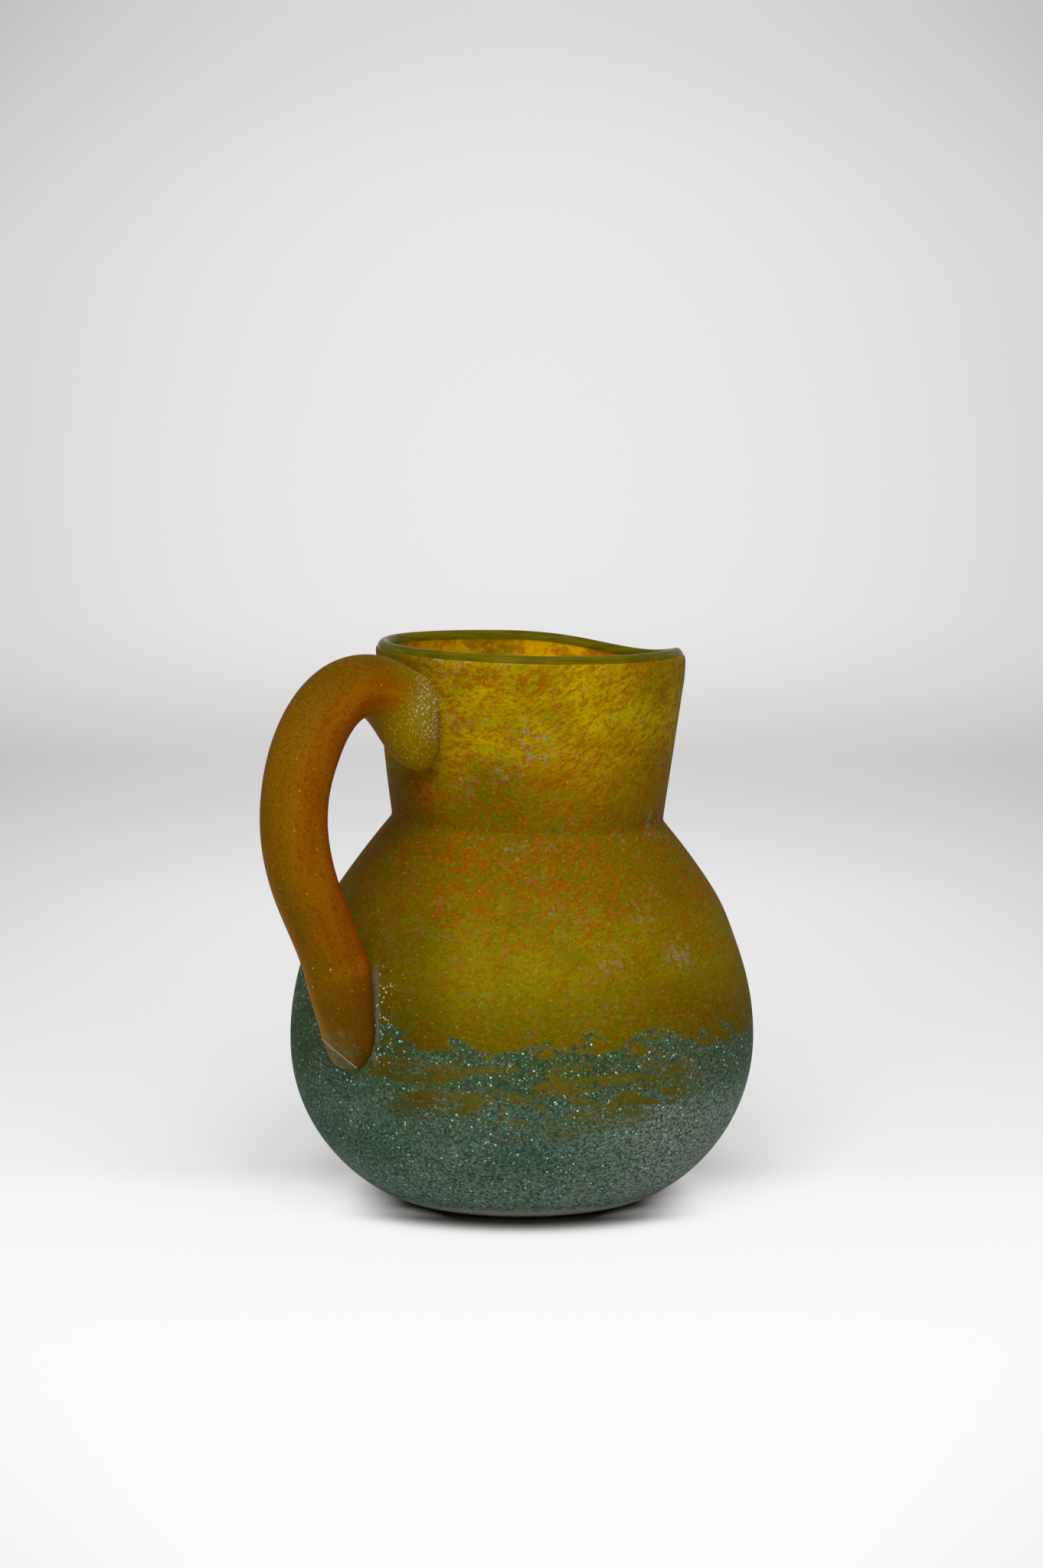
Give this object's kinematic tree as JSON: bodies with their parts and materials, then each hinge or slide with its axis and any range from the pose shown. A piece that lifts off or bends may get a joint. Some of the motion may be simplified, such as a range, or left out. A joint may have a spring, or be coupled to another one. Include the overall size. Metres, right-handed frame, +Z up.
{
  "type": "glass pitcher",
  "caption": "Hand-blown mottled glass pitcher with a round bowl, pinched tall neck, pulled pouring lip and an applied looped rod handle.",
  "frame": {"origin": "centre of the ground flat under the bowl", "axes": "+Z up through the mouth, +X towards the pouring lip, the handle along -X"},
  "size_m": [0.1743, 0.1428, 0.1719],
  "materials": {
    "gather_glass": "fire-polished olive glass, smooth",
    "amber_glass": "satin etched, mottled yellow and orange",
    "green_glass": "satin, dark green grains with pale sparkles",
    "handle_glass": "satin translucent amber"
  },
  "bodies": {
    "root": {"inner_gather": "gather_glass", "amber_casing": "amber_glass", "green_overlay": "green_glass", "handle": "handle_glass"}
  },
  "joints": []
}
